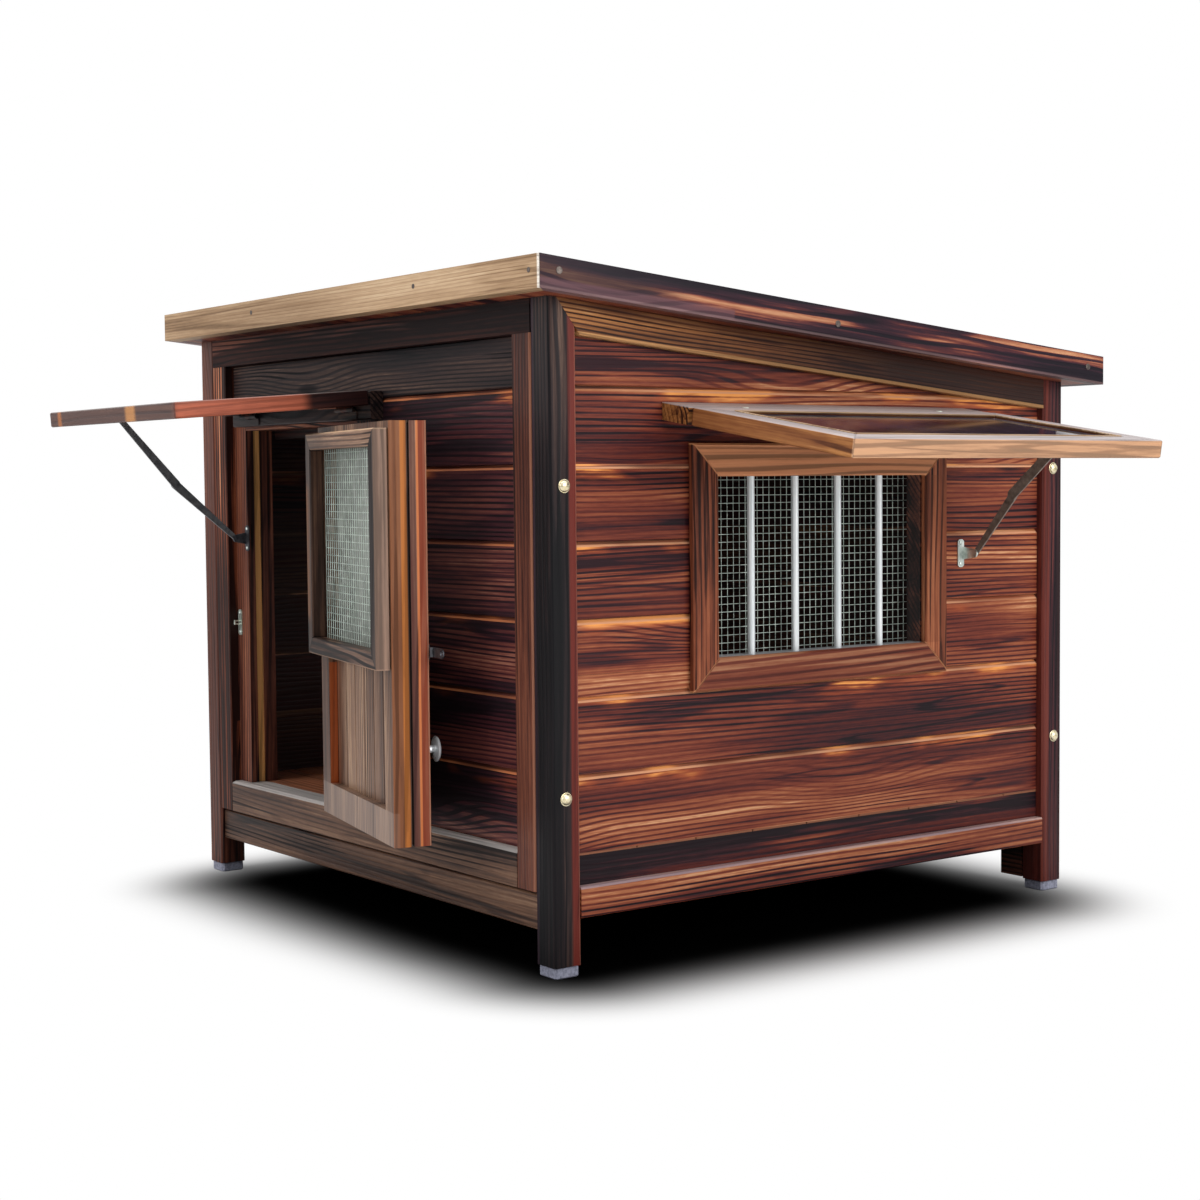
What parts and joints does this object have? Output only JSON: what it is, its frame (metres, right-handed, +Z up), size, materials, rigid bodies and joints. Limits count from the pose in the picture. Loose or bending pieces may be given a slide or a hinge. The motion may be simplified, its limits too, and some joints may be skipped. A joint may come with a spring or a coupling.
{
  "type": "dog_house",
  "caption": "Slant-roofed scorched-cedar dog house on four posts, with a half-glazed side-hung door and a propped glazed flap over the door and over the barred window.",
  "frame": {"origin": "on the ground, under the middle of the bounding box of the house with its door and both flaps open", "axes": "+X from the plain wall to the window wall, -Y from the back to the door wall, +Z up"},
  "size_m": [1.3148, 1.243, 0.868],
  "materials": {
    "charred_wood": "scorched cedar, brushed and oiled, dark red-brown to black grain",
    "dark_wood": "scorched cedar, almost black, fine grain",
    "gold_wood": "lightly scorched cedar, golden brown",
    "pale_wood": "planed cedar, pale tan, oiled",
    "red_wood": "scorched cedar, red-brown",
    "zinc": "bright zinc plate",
    "steel": "dull grey-brown steel",
    "chrome": "polished",
    "foot_plastic": "matt blue-grey",
    "clear_pane": "clear, glossy"
  },
  "bodies": {
    "cabin": {"post_front_left": "charred_wood", "post_front_right": "charred_wood", "post_back_left": "charred_wood", "post_back_right": "charred_wood", "front_apron": "charred_wood", "right_apron": "charred_wood", "left_apron": "charred_wood", "back_apron": "charred_wood", "floor_deck": "charred_wood", "front_stile_left": "charred_wood", "front_bottom_rail": "charred_wood", "front_wall_boards": "charred_wood", "jamb_right": "charred_wood", "jamb_head": "charred_wood", "right_wall_lower": "charred_wood", "right_wall_upper": "charred_wood", "right_wall_front": "charred_wood", "right_wall_back": "charred_wood", "left_wall": "charred_wood", "back_wall": "charred_wood", "back_fascia": "charred_wood", "front_flap_batten": "charred_wood", "front_top_rail": "dark_wood", "header_board": "dark_wood", "roof_panel": "dark_wood", "right_fascia": "dark_wood", "left_fascia": "dark_wood", "jamb_left": "gold_wood", "right_top_rail": "gold_wood", "window_trim": "gold_wood", "side_flap_batten": "gold_wood", "front_fascia": "pale_wood", "front_stile_right": "red_wood", "window_bars": "zinc", "window_mesh": "zinc", "side_flap_stay_bracket": "zinc", "front_flap_stay_bracket": "zinc", "hasp_keeper": "zinc", "door_hinge_lower": "steel", "door_hinge_upper": "steel", "foot_front_left": "foot_plastic", "foot_front_right": "foot_plastic", "foot_back_left": "foot_plastic", "foot_back_right": "foot_plastic"},
    "door": {"door_leaf": "charred_wood", "door_screen_frame": "charred_wood", "door_mesh": "zinc", "door_pane": "clear_pane", "door_knob": "chrome", "hasp_base": "zinc"},
    "hasp": {"hasp_strap": "zinc"},
    "front_flap": {"front_flap_frame": "gold_wood", "front_flap_pane": "clear_pane"},
    "side_flap": {"side_flap_frame": "gold_wood", "side_flap_pane": "clear_pane"},
    "front_stay_lower": {"front_flap_stay_lower": "steel"},
    "front_stay_upper": {"front_flap_stay_upper": "steel"},
    "side_stay_lower": {"side_flap_stay_lower": "steel"},
    "side_stay_upper": {"side_flap_stay_upper": "steel"}
  },
  "joints": [
    {"name": "door_swing", "type": "hinge", "parent": "cabin", "child": "door", "pos_m": [-0.16136, -0.319, 0.415], "axis": [0, 0, 1], "range_deg": [-166.4, 0]},
    {"name": "hasp_swing", "type": "hinge", "parent": "door", "child": "hasp", "pos_m": [0.16203, -0.39806, 0.393], "axis": [0, 0, 1], "range_deg": [0, 150]},
    {"name": "front_flap_swing", "type": "hinge", "parent": "cabin", "child": "front_flap", "pos_m": [-0.29486, -0.339, 0.704], "axis": [1, 0, 0], "range_deg": [0, 18]},
    {"name": "side_flap_swing", "type": "hinge", "parent": "cabin", "child": "side_flap", "pos_m": [0.36634, 0.1175, 0.666], "axis": [0, 1, 0], "range_deg": [0, 88]},
    {"name": "front_stay_lower_turn", "type": "hinge", "parent": "cabin", "child": "front_stay_lower", "pos_m": [-0.50511, -0.3311, 0.522], "axis": [1, 0, 0], "range_deg": [0, 39.21]},
    {"name": "front_stay_upper_turn", "type": "hinge", "parent": "front_flap", "child": "front_stay_upper", "pos_m": [-0.50211, -0.51961, 0.70526], "axis": [1, 0, 0], "range_deg": [-37.47, 0]},
    {"name": "side_stay_lower_turn", "type": "hinge", "parent": "cabin", "child": "side_stay_lower", "pos_m": [0.33364, 0.38925, 0.498], "axis": [0, 1, 0], "range_deg": [0, 108.56]},
    {"name": "side_stay_upper_turn", "type": "hinge", "parent": "side_flap", "child": "side_stay_upper", "pos_m": [0.50216, 0.38625, 0.66096], "axis": [0, 1, 0], "range_deg": [-148.96, 0]}
  ],
  "couplings": [
    {"joint": "front_stay_lower_turn", "follows": "front_flap_swing", "ratio": 2.1776},
    {"joint": "front_stay_upper_turn", "follows": "front_flap_swing", "ratio": -2.0811},
    {"joint": "side_stay_lower_turn", "follows": "side_flap_swing", "ratio": 1.2335},
    {"joint": "side_stay_upper_turn", "follows": "side_flap_swing", "ratio": -1.6926}
  ]
}
